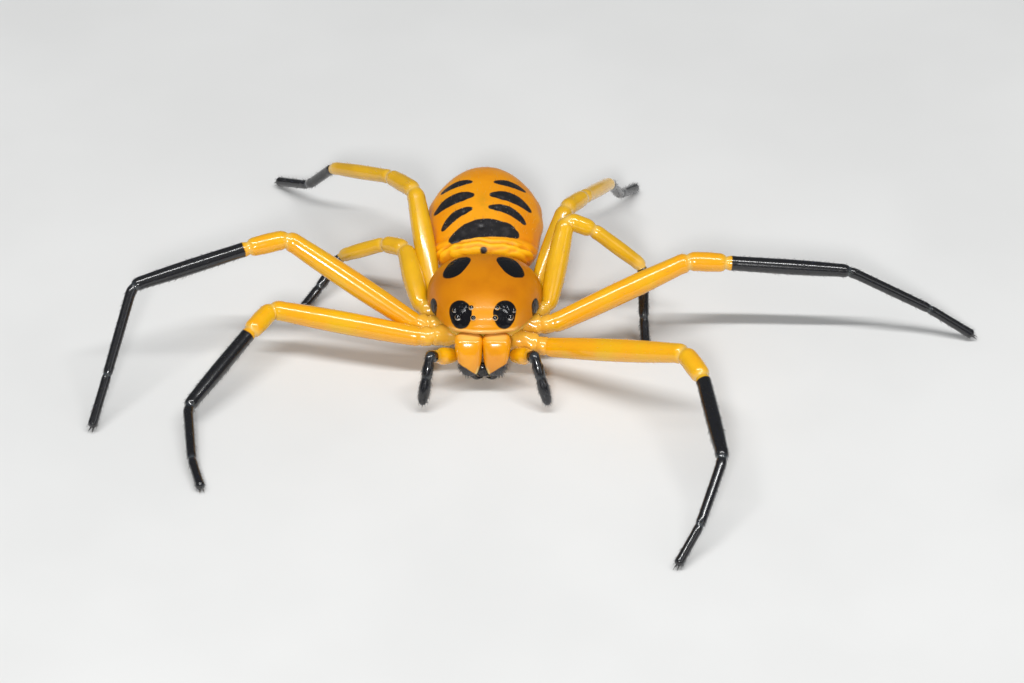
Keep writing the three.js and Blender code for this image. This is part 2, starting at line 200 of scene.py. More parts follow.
def closed_grid(rings):
    """Points and faces of a closed form from rings of the same count, each end drawn to a point."""
    rows, sides, _ = rings.shape
    points = rings.reshape(-1, 3)
    first = rings[0].mean(0)
    last = rings[-1].mean(0)
    points = np.vstack([points, first, last])
    faces = []
    for r in range(rows - 1):
        for s in range(sides):
            t = (s + 1) % sides
            faces.append((r * sides + s, r * sides + t, (r + 1) * sides + t, (r + 1) * sides + s))
    first_index = rows * sides
    last_index = first_index + 1
    for s in range(sides):
        t = (s + 1) % sides
        faces.append((t, s, first_index))
        faces.append(((rows - 1) * sides + s, (rows - 1) * sides + t, last_index))
    return points, faces


def add_object(name, data):
    thing = bpy.data.objects.new(name, data)
    bpy.context.scene.collection.objects.link(thing)
    return thing


def make_piece(name, points, faces, material, values=None, wraps=None):
    """A smooth mesh in the frame, faces turned out, with its named point values and unwrap.

    A skin with hair also keeps its unwrap as a point value, where the coat reads it.
    """
    if values and "hair" in values:
        values["root_wrap"] = np.column_stack([wraps, np.zeros(len(wraps))])
    mesh = bpy.data.meshes.new(name)
    mesh.from_pydata([tuple(p) for p in frame_points(points)], [], faces)
    mesh.update()
    if values:
        for key, array in values.items():
            kind = "FLOAT_VECTOR" if np.asarray(array).ndim == 2 else "FLOAT"
            layer = mesh.attributes.new(key, kind, "POINT")
            slot_name = "vector" if kind == "FLOAT_VECTOR" else "value"
            layer.data.foreach_set(slot_name, np.asarray(array, np.float32).ravel())
    if wraps is not None:
        layer = mesh.uv_layers.new(name="Unwrap")
        corner_point = np.zeros(len(mesh.loops), np.int32)
        mesh.loops.foreach_get("vertex_index", corner_point)
        layer.data.foreach_set("uv", np.asarray(wraps, np.float32)[corner_point].ravel())
    shape = bmesh.new()
    shape.from_mesh(mesh)
    bmesh.ops.recalc_face_normals(shape, faces=shape.faces)
    shape.to_mesh(mesh)
    shape.free()
    for face in mesh.polygons:
        face.use_smooth = True
    mesh.materials.append(material)
    return add_object(name, mesh)


def settle(piece, finish, *nodes):
    """Lets a finished piece ride on the animal and stand for its solids."""
    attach(piece, "root")
    if nodes:
        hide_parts(*nodes)


def joined(parts):
    """Several (points, faces) forms as one."""
    points = []
    faces = []
    start = 0
    for part_points, part_faces in parts:
        points.append(part_points)
        faces.extend(tuple(i + start for i in face) for face in part_faces)
        start += len(part_points)
    return np.vstack(points), faces


# Materials


class Nodes:
    """Short hand for a material's nodes and links."""

    def __init__(self, name):
        self.material = bpy.data.materials.new(name)
        self.material.use_nodes = True
        self.tree = self.material.node_tree
        self.tree.nodes.clear()
        self.out = self.tree.nodes.new("ShaderNodeOutputMaterial")
        self.shader = self.tree.nodes.new("ShaderNodeBsdfPrincipled")
        self.tree.links.new(self.shader.outputs["BSDF"], self.out.inputs["Surface"])
        coordinates = self.tree.nodes.new("ShaderNodeTexCoord")
        self.place = coordinates.outputs["Object"]

    def link(self, value, socket):
        if isinstance(value, (int, float)):
            socket.default_value = value
        elif isinstance(value, tuple):
            socket.default_value = value if len(value) == 4 else (*value, 1.0)
        else:
            self.tree.links.new(value, socket)

    def attribute(self, name):
        node = self.tree.nodes.new("ShaderNodeAttribute")
        node.attribute_name = name
        return node.outputs["Fac"]

    def noise(self, scale, detail):
        node = self.tree.nodes.new("ShaderNodeTexNoise")
        self.tree.links.new(self.place, node.inputs["Vector"])
        node.inputs["Scale"].default_value = scale
        node.inputs["Detail"].default_value = detail
        return node.outputs["Fac"]

    def cells(self, scale):
        node = self.tree.nodes.new("ShaderNodeTexVoronoi")
        self.tree.links.new(self.place, node.inputs["Vector"])
        node.inputs["Scale"].default_value = scale
        return node.outputs["Distance"]

    def math(self, operation, a, b):
        node = self.tree.nodes.new("ShaderNodeMath")
        node.operation = operation
        self.link(a, node.inputs[0])
        self.link(b, node.inputs[1])
        return node.outputs[0]

    def plus(self, base, extra, share):
        """A value with a share of another added."""
        return self.math("ADD", base, self.math("MULTIPLY", extra, share))

    def ramp(self, value, low, high):
        """0 at the low value and 1 at the high one; low may be the greater of the two."""
        node = self.tree.nodes.new("ShaderNodeMapRange")
        node.interpolation_type = "SMOOTHSTEP"
        self.link(value, node.inputs["Value"])
        node.inputs["From Min"].default_value = low
        node.inputs["From Max"].default_value = high
        return node.outputs["Result"]

    def blend(self, share, a, b):
        node = self.tree.nodes.new("ShaderNodeMix")
        node.data_type = "RGBA"
        self.link(share, node.inputs[0])
        self.link(a, node.inputs[6])
        self.link(b, node.inputs[7])
        return node.outputs[2]

    def mottle(self, scale, detail, a, b, low=0.35, high=0.7):
        """Two colours in soft patches."""
        return self.blend(self.ramp(self.noise(scale, detail), low, high), a, b)

    def level(self, share, a, b):
        return self.blend(share, (a, a, a), (b, b, b))

    def bump(self, height, strength, distance):
        node = self.tree.nodes.new("ShaderNodeBump")
        node.inputs["Strength"].default_value = strength
        node.inputs["Distance"].default_value = distance
        self.link(height, node.inputs["Height"])
        return node.outputs["Normal"]

    def finish(self, colour, roughness, normal=None, flesh=None, **sockets):
        """Closes the material; flesh gives the weight and depth in metres of the light let in."""
        if flesh:
            sockets["Subsurface_Weight"], sockets["Subsurface_Scale"] = flesh
            sockets["Subsurface_Radius"] = (1.0, 0.6, 0.1)
        self.link(colour, self.shader.inputs["Base Color"])
        self.link(roughness, self.shader.inputs["Roughness"])
        if normal is not None:
            self.tree.links.new(normal, self.shader.inputs["Normal"])
        for key, value in sockets.items():
            self.shader.inputs[key.replace("_", " ")].default_value = value
        return self.material


SHIELD_ORANGE = (0.61, 0.205, 0.001)
SHIELD_DEEP = (0.52, 0.16, 0.001)
SHIELD_FACE = (0.80, 0.31, 0.002)
CLYPEUS_PINK = (0.82, 0.43, 0.10)
ABDOMEN_ORANGE = (0.88, 0.36, 0.002)
ABDOMEN_DEEP = (0.74, 0.255, 0.001)
ABDOMEN_LIGHT = (0.94, 0.47, 0.004)
# Painted shade: deeper red for the grooves between the abdomen's folds
GROOVE_SHADE_RED = (0.60, 0.16, 0.001)
SMUDGE_BROWN = (0.50, 0.26, 0.003)
LEG_AMBER = (0.84, 0.37, 0.003)
LEG_OCHRE = (0.68, 0.37, 0.008)
LEG_YELLOW = (0.78, 0.43, 0.005)
MEMBRANE = (0.80, 0.50, 0.10)
SOFT_YELLOW = (0.74, 0.44, 0.02)
SOFT_PALE = (0.80, 0.52, 0.07)
JAW_ORANGE = (0.84, 0.34, 0.002)
JAW_DEEP = (0.72, 0.26, 0.001)
JAW_RIM = (0.86, 0.58, 0.16)
HORN_BLACK = (0.006, 0.006, 0.0075)
JOINT_GREY_AND_GLINT = (0.12, 0.14, 0.15)
CLAW_BLACK = (0.004, 0.004, 0.004)
CLAW_BROWN = (0.02, 0.014, 0.010)
MARK_BLACK = (0.014, 0.013, 0.014)
MARK_GREY = (0.035, 0.032, 0.034)
MARK_SPECK = (0.5, 0.42, 0.34)
LENS_BLACK = (0.002, 0.002, 0.003)
LENS_BROWN = (0.010, 0.008, 0.010)
PALE_GLINT = (0.62, 0.60, 0.56)
HAIR_TAN = (0.55, 0.32, 0.06)
HAIR_GOLD = (0.75, 0.5, 0.16)
HAIR_BLACK = (0.008, 0.008, 0.009)
HAIR_GREY = (0.09, 0.09, 0.10)


def shield_material():
    n = Nodes("shield_horn")
    orange = n.mottle(420.0, 3.0, SHIELD_ORANGE, SHIELD_DEEP)
    black = n.ramp(n.plus(n.attribute("mark"), n.noise(2600.0, 2.0), 0.05), 0.055, 0.0)
    face = n.blend(n.attribute("face"), orange, SHIELD_FACE)
    body = n.blend(n.attribute("pale"), face, CLYPEUS_PINK)
    colour = n.blend(black, body, HORN_BLACK)
    # The black spots are pitted more deeply than the orange
    pitted = n.plus(0.4, black, 1.6)
    height = n.plus(n.math("MULTIPLY", n.noise(3800.0, 2.0), 0.35), n.cells(5200.0), pitted)
    normal = n.bump(height, 0.4, 0.00002)
    return n.finish(colour, n.level(black, 0.36, 0.16), normal, flesh=(0.05, 0.0004),
                    Specular_IOR_Level=0.22, Coat_Weight=0.1, Coat_Roughness=0.1)


def abdomen_material():
    n = Nodes("abdomen_skin")
    mark = n.attribute("mark")
    light = n.mottle(300.0, 4.0, ABDOMEN_ORANGE, ABDOMEN_DEEP)
    light = n.blend(n.attribute("pale"), light, ABDOMEN_LIGHT)
    # Painted shade: the grooves between the folds are coloured a deeper red
    light = n.blend(n.math("MULTIPLY", n.attribute("groove_shade"), 0.65), light, GROOVE_SHADE_RED)
    smudge = n.math("MULTIPLY", n.attribute("smudge"), n.ramp(n.noise(1500.0, 3.0), 0.3, 0.7))
    light = n.blend(n.math("MULTIPLY", smudge, 0.6), light, SMUDGE_BROWN)
    black = n.ramp(n.plus(mark, n.noise(2000.0, 3.0), 0.09), 0.09, 0.015)
    grey = n.mottle(2500.0, 4.0, MARK_BLACK, MARK_GREY, 0.45, 0.75)
    # Pale specks stand just inside the edge of each black mark
    speck = n.math("MULTIPLY", n.ramp(n.cells(5200.0), 0.16, 0.08), n.ramp(mark, -0.25, -0.05))
    grey = n.blend(n.math("MULTIPLY", speck, 0.6), grey, MARK_SPECK)
    colour = n.blend(black, light, grey)
    height = n.plus(n.math("MULTIPLY", n.noise(3000.0, 3.0), 0.6), n.cells(2400.0), 0.5)
    normal = n.bump(height, 0.5, 0.00003)
    return n.finish(colour, n.level(black, 0.46, 0.34), normal, flesh=(0.06, 0.0005),
                    Specular_IOR_Level=0.3)


def leg_material(name, warm):
    n = Nodes(name)
    membrane_and_glint = n.attribute("pale")
    yellow = n.mottle(500.0, 3.0, warm, LEG_YELLOW)
    pale = n.blend(membrane_and_glint, yellow, MEMBRANE)
    black = n.ramp(n.plus(n.attribute("mark"), n.noise(2400.0, 2.0), 0.10), 0.12, 0.02)
    # Joints on the black parts: pale membrane, with a painted bluish glint on it
    dark = n.blend(n.math("MULTIPLY", membrane_and_glint, 0.35), HORN_BLACK, JOINT_GREY_AND_GLINT)
    colour = n.blend(black, pale, dark)
    height = n.plus(n.math("MULTIPLY", n.noise(4200.0, 2.0), 0.5), n.cells(3600.0), 0.5)
    normal = n.bump(height, 0.3, 0.00002)
    return n.finish(colour, n.level(black, 0.24, 0.27), normal, flesh=(0.1, 0.0005),
                    Specular_IOR_Level=0.35, Coat_Weight=0.9, Coat_Roughness=0.12)


def soft_skin_material():
    n = Nodes("soft_skin")
    yellow = n.mottle(700.0, 3.0, SOFT_YELLOW, SOFT_PALE, 0.3)
    colour = n.blend(n.attribute("pale"), yellow, MEMBRANE)
    height = n.plus(n.noise(1500.0, 3.0), n.noise(5000.0, 2.0), 0.3)
    normal = n.bump(height, 0.4, 0.00005)
    return n.finish(colour, 0.22, normal, flesh=(0.2, 0.0006), Specular_IOR_Level=0.35,
                    Coat_Weight=0.5, Coat_Roughness=0.06)


def jaw_material():
    n = Nodes("jaw_horn")
    orange = n.mottle(600.0, 3.0, JAW_ORANGE, JAW_DEEP)
    rim = n.blend(n.attribute("pale"), orange, JAW_RIM)
    black = n.ramp(n.plus(n.attribute("mark"), n.noise(2600.0, 3.0), 0.10), 0.10, 0.03)
    colour = n.blend(black, rim, HORN_BLACK)
    height = n.plus(n.noise(900.0, 3.0), n.noise(4000.0, 2.0), 0.3)
    normal = n.bump(height, 0.3, 0.00005)
    return n.finish(colour, n.level(black, 0.2, 0.3), normal, flesh=(0.08, 0.0005),
                    Specular_IOR_Level=0.35, Coat_Weight=0.8, Coat_Roughness=0.06)


def horn_material():
    n = Nodes("black_horn")
    colour = n.mottle(1800.0, 3.0, CLAW_BLACK, CLAW_BROWN, 0.3, 0.8)
    normal = n.bump(n.noise(5000.0, 3.0), 0.25, 0.00002)
    return n.finish(colour, 0.2, normal, Coat_Weight=0.3, Coat_Roughness=0.1)


def eye_material():
    n = Nodes("eye_lens")
    dark = n.mottle(1500.0, 2.0, LENS_BLACK, LENS_BROWN, 0.3, 0.8)
    colour = n.blend(n.attribute("pale"), dark, PALE_GLINT)
    normal = n.bump(n.noise(3000.0, 1.0), 0.03, 0.00001)
    return n.finish(colour, 0.05, normal, Coat_Weight=0.8, Coat_Roughness=0.03)


def bristle_material():
    n = Nodes("bristle_horn")
    dark = n.ramp(n.attribute("mark"), 0.1, 0.0)
    shade = n.noise(900.0, 2.0)
    pale_hair = n.blend(shade, HAIR_TAN, HAIR_GOLD)
    dark_hair = n.blend(n.ramp(shade, 0.45, 0.65), HAIR_BLACK, HAIR_GREY)
    return n.finish(n.blend(dark, pale_hair, dark_hair), 0.4)


shield_horn = shield_material()
abdomen_skin = abdomen_material()
front_leg_skin = leg_material("front_leg_skin", LEG_AMBER)
rear_leg_skin = leg_material("rear_leg_skin", LEG_OCHRE)
soft_skin = soft_skin_material()
jaw_horn = jaw_material()
black_horn = horn_material()
eye_lens = eye_material()
bristle_horn = bristle_material()


# Bristle coat, made from a skin by a tree of geometry nodes


TUFT_PATCH = 0.003
STRAY = 0.3


def bristle_tree():
    """Cones on a skin; the skin's own values give where they grow and which way they lie."""
    tree = bpy.data.node_groups.new("Bristle coat", "GeometryNodeTree")
    face = tree.interface
    face.new_socket("Skin", in_out="INPUT", socket_type="NodeSocketGeometry")
    for label in ("Bristles per square metre", "Length", "Root radius", "Lean"):
        face.new_socket(label, in_out="INPUT", socket_type="NodeSocketFloat")
    face.new_socket("Seed", in_out="INPUT", socket_type="NodeSocketInt")
    face.new_socket("Finish", in_out="INPUT", socket_type="NodeSocketMaterial")
    face.new_socket("Coat", in_out="OUTPUT", socket_type="NodeSocketGeometry")
    nodes = tree.nodes
    link = tree.links.new
    given = nodes.new("NodeGroupInput")
    made = nodes.new("NodeGroupOutput")

    def named(kind, name):
        node = nodes.new("GeometryNodeInputNamedAttribute")
        node.data_type = kind
        node.inputs["Name"].default_value = name
        return node.outputs["Attribute"]

    def vector_math(operation, first, socket, second):
        node = nodes.new("ShaderNodeVectorMath")
        node.operation = operation
        link(first, node.inputs[0])
        if isinstance(second, float):
            node.inputs[socket].default_value = second
        else:
            link(second, node.inputs[socket])
        return node.outputs["Vector"]

    spread = nodes.new("GeometryNodeDistributePointsOnFaces")
    spread.distribute_method = "RANDOM"
    density = nodes.new("ShaderNodeMath")
    density.operation = "MULTIPLY"
    link(named("FLOAT", "hair"), density.inputs[0])
    link(given.outputs["Bristles per square metre"], density.inputs[1])
    link(given.outputs["Skin"], spread.inputs["Mesh"])
    link(density.outputs[0], spread.inputs["Density"])
    link(given.outputs["Seed"], spread.inputs["Seed"])

    stray = nodes.new("FunctionNodeRandomValue")
    stray.data_type = "FLOAT_VECTOR"
    stray.inputs["Min"].default_value = (-STRAY, -STRAY, -STRAY)
    stray.inputs["Max"].default_value = (STRAY, STRAY, STRAY)
    link(given.outputs["Seed"], stray.inputs["Seed"])
    lean = vector_math("SCALE", named("FLOAT_VECTOR", "lie"), "Scale", given.outputs["Lean"])
    aim = vector_math("ADD", spread.outputs["Normal"], 1, lean)
    aim = vector_math("ADD", aim, 1, stray.outputs["Value"])
    turn = nodes.new("FunctionNodeAlignRotationToVector")
    turn.axis = "Z"
    link(aim, turn.inputs["Vector"])

    cone = nodes.new("GeometryNodeMeshCone")
    cone.inputs["Vertices"].default_value = 4
    cone.inputs["Side Segments"].default_value = 2
    cone.inputs["Radius Top"].default_value = 0.0
    link(given.outputs["Root radius"], cone.inputs["Radius Bottom"])
    link(given.outputs["Length"], cone.inputs["Depth"])
    cone_wrap = nodes.new("GeometryNodeStoreNamedAttribute")
    cone_wrap.data_type = "FLOAT_VECTOR"
    cone_wrap.domain = "CORNER"
    cone_wrap.inputs["Name"].default_value = "tuft_wrap"
    link(cone.outputs["Mesh"], cone_wrap.inputs["Geometry"])
    link(cone.outputs["UV Map"], cone_wrap.inputs["Value"])

    size = nodes.new("FunctionNodeRandomValue")
    size.data_type = "FLOAT"
    size.inputs[2].default_value = 0.55
    size.inputs[3].default_value = 1.15
    set_out = nodes.new("GeometryNodeInstanceOnPoints")
    link(spread.outputs["Points"], set_out.inputs["Points"])
    link(cone_wrap.outputs["Geometry"], set_out.inputs["Instance"])
    link(turn.outputs["Rotation"], set_out.inputs["Rotation"])
    link(size.outputs[1], set_out.inputs["Scale"])
    real = nodes.new("GeometryNodeRealizeInstances")
    link(set_out.outputs["Instances"], real.inputs["Geometry"])

    # Each tuft keeps a small patch at its root's place on the skin's unwrap
    patch = vector_math("SCALE", named("FLOAT_VECTOR", "tuft_wrap"), "Scale", TUFT_PATCH)
    root_wrap = vector_math("ADD", named("FLOAT_VECTOR", "root_wrap"), 1, patch)
    store = nodes.new("GeometryNodeStoreNamedAttribute")
    store.data_type = "FLOAT2"
    store.domain = "CORNER"
    store.inputs["Name"].default_value = "OFBake"
    link(real.outputs["Geometry"], store.inputs["Geometry"])
    link(root_wrap, store.inputs["Value"])
    finish = nodes.new("GeometryNodeSetMaterial")
    link(store.outputs["Geometry"], finish.inputs["Geometry"])
    link(given.outputs["Finish"], finish.inputs["Material"])
    link(finish.outputs["Geometry"], made.inputs["Coat"])
    return tree


bristles = bristle_tree()


def grow_coat(name, skin, per_square_mm, length_mm, root_mm, lean, seed, finish):
    """Grows a bristle coat from a finished skin and keeps it as a plain mesh of its own."""
    holder = add_object(name + "_holder", skin.data.copy())
    step = holder.modifiers.new("coat", "NODES")
    step.node_group = bristles
    sizes = {
        "Bristles per square metre": per_square_mm * 1e6,
        "Length": length_mm * MM,
        "Root radius": root_mm * MM,
        "Lean": lean,
        "Seed": seed,
        "Finish": bristle_horn,
    }
    for item in bristles.interface.items_tree:
        if item.in_out == "INPUT" and item.name in sizes:
            step[item.identifier] = sizes[item.name]
    bpy.context.view_layer.update()
    graph = bpy.context.evaluated_depsgraph_get()
    mesh = bpy.data.meshes.new_from_object(holder.evaluated_get(graph),
                                           preserve_all_data_layers=True, depsgraph=graph)
    mesh.name = name
    bpy.data.objects.remove(holder)
    settle(add_object(name, mesh), finish)


# Shield of the head and chest


def shield_half(y):
    return between(SHIELD_LINE, y, "half") * line_end(y, *SHIELD_ENDS, 0.3, 0.5)


def shield_heights(y):
    """Height of the rim, height of the crown, and how far the ends draw it in."""
    rim = between(SHIELD_LINE, y, "rim")
    top = between(SHIELD_LINE, y, "top")
    return rim, top, line_end(y, *SHIELD_ENDS, 0.16, 0.3)


def shield_top(x, y):
    """Height of the shield over a place in plan."""
    rim, top, ends = shield_heights(y)
    side = np.clip(np.abs(x) / np.maximum(1e-6, shield_half(y)), 0, 1)
    return rim + (top - rim) * ends * (1 - side**2.3) ** (1 / 2.3)


# Black spots of the shield: centre and half sizes, turn in degrees, squareness of the oval
REAR_SPOT = ((1.47, 0.93), (0.62, 1.0), 26.0, 2.6)
RIM_SPOT = ((-0.65, 3.44), (0.42, 0.54), 0.0, 2.5)
# The eye patch is an egg with its point down, measured across the line of sight
EYE_PATCH = {"out": 1.2, "height": 2.13, "half": 0.62, "point": 0.93, "lean": 0.05}


def oval_distance(x, y, centre, half, turn, power):
    """Roughly how far a place lies outside an oval, in millimetres, less than 0 inside."""
    a = math.radians(turn)
    dx = x - centre[0]
    dy = y - centre[1]
    u = (dx * math.cos(a) + dy * math.sin(a)) / half[0]
    v = (-dx * math.sin(a) + dy * math.cos(a)) / half[1]
    r = (np.abs(u) ** power + np.abs(v) ** power) ** (1 / power)
    return (r - 1) * min(half)


def view_height(y, z):
    """Height of a place across the photograph's line of sight."""
    tilt = math.radians(VIEW_ELEVATION)
    return y * math.sin(tilt) + z * math.cos(tilt)


def shield_marks(x, y, z):
    """Distance to the shield's black spots: two behind, two at the eyes, two at the rim."""
    rear = oval_distance(np.abs(x - SPOT_MIDDLE), y, *REAR_SPOT)
    across = (np.abs(x - FACE_MIDDLE) - EYE_PATCH["out"]) / EYE_PATCH["half"]
    rise = view_height(y, z) - EYE_PATCH["height"]
    rise = np.where(rise > 0, rise / EYE_PATCH["half"], rise / EYE_PATCH["point"])
    across = across - EYE_PATCH["lean"] * rise
    egg = (np.abs(across) ** 2.2 + np.abs(rise) ** 1.85) ** (1 / 2.03)
    eye = np.where(y < -1.2, (egg - 1) * 0.6, 1.0)
    rim = oval_distance(y, z, *RIM_SPOT)
    rim = np.where(np.abs(x) > 2.2, rim, 1.0)
    return np.minimum(np.minimum(rear, eye), rim)


def shield_piece():
    y = row_places(*SHIELD_ENDS, 130)
    angle = ring_angles(200)
    half = shield_half(y)[:, None]
    rim, top, ends = (line[:, None] for line in shield_heights(y))
    across = squared(np.cos(angle), 0.87)[None] * half
    lift = squared(np.sin(angle), 0.87)[None]
    z = np.where(lift >= 0, rim + (top - rim) * ends * lift, rim + 0.10 * ends * lift)
    rings = np.stack([across, np.broadcast_to(y[:, None], across.shape), z], -1)
    # A raised lip runs along the front edge, and a faint dip behind the middle
    rings[..., 1] -= 0.06 * hump(z, rim + 0.10, 0.07) * smooth(-2.2, -2.8, y)[:, None]
    dip = hump(rings[..., 0], 0, 0.25) * hump(rings[..., 1], 1.7, 0.5)
    rings[..., 2] -= 0.05 * dip * (lift > 0)
    for eye in EYES.values():
        for side in (1, -1):
            away = np.hypot(rings[..., 0] - side * eye["x"], rings[..., 1] - eye["y"])
            rings[..., 2] += 0.05 * hump(away, 0, eye["radius"] * 1.5) * (lift > 0)
    points, faces = closed_grid(rings)
    x, yy, zz = points.T
    rim_here = between(SHIELD_LINE, yy, "rim")
    values = {
        "mark": shield_marks(x, yy, zz),
        "pale": smooth(0.24, 0.16, zz - rim_here) * smooth(-2.2, -2.7, yy),
        "face": smooth(-1.2, -2.7, yy) * 0.8,
    }
    wraps = unwrap(zz - 3.2, x, (yy + 3.1) / 6.3)
    piece = make_piece("carapace_skin", points, faces, shield_horn, values, wraps)
    settle(piece, "shield", "carapace")


shield_piece()


# Abdomen


# Each bar: its inner end, its bend and its outer end in plan, and its half width
ABDOMEN_BARS = [
    ((-1.72, 4.28), (-0.15, 5.02), (1.62, 4.6), 0.6),
    ((0.8, 4.82), (1.25, 4.75), (1.5, 4.62), 0.46),
    ((-0.82, 6.08), (-1.75, 5.98), (-2.28, 5.22), 0.29),
    ((0.32, 6.16), (1.5, 6.25), (2.16, 5.55), 0.29),
    ((-0.78, 7.1), (-1.8, 7.22), (-2.68, 6.7), 0.41),
    ((0.44, 7.08), (1.5, 7.3), (2.42, 6.66), 0.37),
    ((-0.84, 8.28), (-1.6, 8.5), (-2.34, 8.12), 0.3),
    ((0.62, 8.22), (1.4, 8.36), (2.14, 8.12), 0.29),
]
ABDOMEN_PITS = [(-0.18, 4.8), (-1.16, 5.9), (0.65, 6.1), (-1.3, 6.92), (0.97, 6.92)]


def bar_distance(x, y, inner, bend, outer, half_width):
    """Distance outside a bent bar that narrows to round ends."""
    best = np.full(x.shape, 9.0)
    for t in np.linspace(0, 1, 41):
        cx = (1 - t) ** 2 * inner[0] + 2 * t * (1 - t) * bend[0] + t * t * outer[0]
        cy = (1 - t) ** 2 * inner[1] + 2 * t * (1 - t) * bend[1] + t * t * outer[1]
        width = half_width * (1 - 0.52 * abs(2 * t - 1) ** 2.2)
        best = np.minimum(best, np.hypot(x - cx, y - cy) - width)
    return best


def abdomen_marks(x, y):
    best = np.full(x.shape, 9.0)
    for inner, bend, outer, half_width in ABDOMEN_BARS:
        best = np.minimum(best, bar_distance(x, y, inner, bend, outer, half_width))
    # A small dark spot over the waist: painted shade of a pit, the skin is not dented there
    waist = np.hypot((x + 0.05) / 1.8, y - 3.42) - 0.1
    return np.minimum(best, waist)


def abdomen_piece():
    sides = 220
    y = row_places(*ABDOMEN_ENDS, 220)
    angle = ring_angles(sides)
    ends = line_end(y, *ABDOMEN_ENDS, 0.3, 0.4)
    half = (between(ABDOMEN_LINE, y, "half") * ends)[:, None]
    mid = between(ABDOMEN_LINE, y, "mid")[:, None]
    rise = (between(ABDOMEN_LINE, y, "rise") * ends)[:, None]
    c = np.cos(angle)[None]
    s = np.sin(angle)[None]
    yy = np.broadcast_to(y[:, None], (len(y), sides))
    # Folds: creases along the flanks and crumpled ridges across the front shoulder
    flank = hump(s, 0.1, 0.42)
    wave = np.sin(yy * 3.1 + 2.2 * s + 0.8 * np.sin(yy * 1.7))
    ripple = np.sin(s * 17 + 1.3 * np.sin(yy * 2.1)) * 0.4
    swell = 0.009 * flank * wave + 0.014 * flank * ripple
    fore = smooth(4.25, 3.95, yy) * smooth(-0.2, 0.2, s)
    crumple = np.sin(yy * 19.0 + 1.6 * np.sin(4.1 * c + 0.6) + 0.9 * np.sin(11.0 * c))
    pleat = np.sin(24.0 * c + 2.0 * np.sin(yy * 6.0)) * smooth(0.25, 0.8, np.abs(c))
    grain = np.sin(31.0 * yy + 3.0 * np.sin(9.0 * c)) * np.sin(27.0 * c + 2.0 * np.sin(13.0 * yy))
    swell += fore * (0.02 * crumple + 0.015 * pleat + 0.006 * grain)
    corner = smooth(5.2, 4.2, yy) * hump(s, 0.35, 0.4)
    swell += corner * 0.02 * np.sin(8.5 * yy + 5.0 * s + np.sin(3.0 * yy))
    # Painted shade: the deeper a groove lies, the more of the deeper red it gets
    groove_shade = smooth(0.015, -0.03, swell)
    rings = np.stack([c * half * (1 + swell), yy, mid + s * rise * (1 + swell)], -1)
    for px, py in ABDOMEN_PITS:
        away = np.hypot(rings[..., 0] - px, rings[..., 1] - py)
        rings[..., 2] -= 0.08 * hump(away, 0, 0.13) * (s > 0)
    points, faces = closed_grid(rings)
    x, yp, zp = points.T
    up = smooth(-0.1, 0.3, zp - 3.6)
    marks = np.where(zp > 3.9, abdomen_marks(x, yp), 2.0)
    values = {
        "mark": marks,
        "pale": smooth(4.6, 3.6, yp) * up,
        "groove_shade": np.concatenate([groove_shade.ravel(), [0.5, 0.5]]),
        "smudge": hump(x, 0, 0.45) * hump(yp, 6.4, 0.8) * up,
        "hair": 0.6 + 0.4 * (marks < 0),
        "lie": np.tile([0.0, 1.0, -0.1], (len(points), 1)),
    }
    wraps = unwrap(zp - 3.5, x, (yp - 3.1) / 8.6)
    piece = make_piece("abdomen_skin", points, faces, abdomen_skin, values, wraps)
    settle(piece, "abdomen_skin", "abdomen")
    grow_coat("abdomen_bristles", piece, 9.0, 0.2, 0.008, 1.6, 11, "abdomen_skin")


abdomen_piece()


# Limbs: one skin from the body to the tip


CORNER_STEPS = 10


def limb_line(places, corner, step):
    """A line through the places with its corners rounded, and where each place falls on it."""
    places = [np.array(p, float) for p in places]
    spots = [places[0]]
    marks = [0]
    for i in range(1, len(places) - 1):
        before = unit(places[i - 1] - places[i])
        after = unit(places[i + 1] - places[i])
        room = min(corner, 0.42 * np.linalg.norm(places[i - 1] - places[i]),
                   0.42 * np.linalg.norm(places[i + 1] - places[i]))
        start = places[i] + before * room
        stop = places[i] + after * room
        count = max(2, int(np.linalg.norm(start - spots[-1]) / step))
        begin = spots[-1]
        for k in range(1, count + 1):
            spots.append(begin + (start - begin) * k / count)
        for k in range(1, CORNER_STEPS + 1):
            t = k / CORNER_STEPS
            spots.append((1 - t) ** 2 * start + 2 * t * (1 - t) * places[i] + t * t * stop)
            if k == CORNER_STEPS // 2:
                marks.append(len(spots) - 1)
    begin = spots[-1]
    count = max(2, int(np.linalg.norm(places[-1] - begin) / step))
    for k in range(1, count + 1):
        spots.append(begin + (places[-1] - begin) * k / count)
    marks.append(len(spots) - 1)
    line = np.array(spots)
    along = np.concatenate([[0], np.cumsum(np.linalg.norm(np.diff(line, axis=0), axis=1))])
    return line, along, [along[m] for m in marks]


def limb_rings(line, radii, sides):
    """Rings across a line; the first point of each faces up."""
    heading = np.gradient(line, axis=0)
    heading /= np.linalg.norm(heading, axis=1)[:, None]
    angle = ring_angles(sides)
    side = np.cross(heading, np.array([0.0, 0.0, 1.0]))
    short = np.linalg.norm(side, axis=1)
    for i in range(len(line)):
        if short[i] < 0.15:
            side[i] = side[i - 1] if i else np.array([1.0, 0.0, 0.0])
    side /= np.linalg.norm(side, axis=1)[:, None]
    up = np.cross(side, heading)
    ring = (np.cos(angle)[None, :, None] * up[:, None]
            + np.sin(angle)[None, :, None] * side[:, None])
    return line[:, None] + ring * radii[:, None, None], heading


def skin_rows(line, along, sides):
    """For each point of a limb's skin: its row, its distance along and its unwrap."""
    count = len(line)
    row = np.concatenate([np.repeat(np.arange(count), sides), [0, count - 1]])
    turn = np.concatenate([np.tile(np.arange(sides) / sides, count), [0.5, 0.5]])
    return row, along[row], flat_places(turn, along[row] / along[-1])


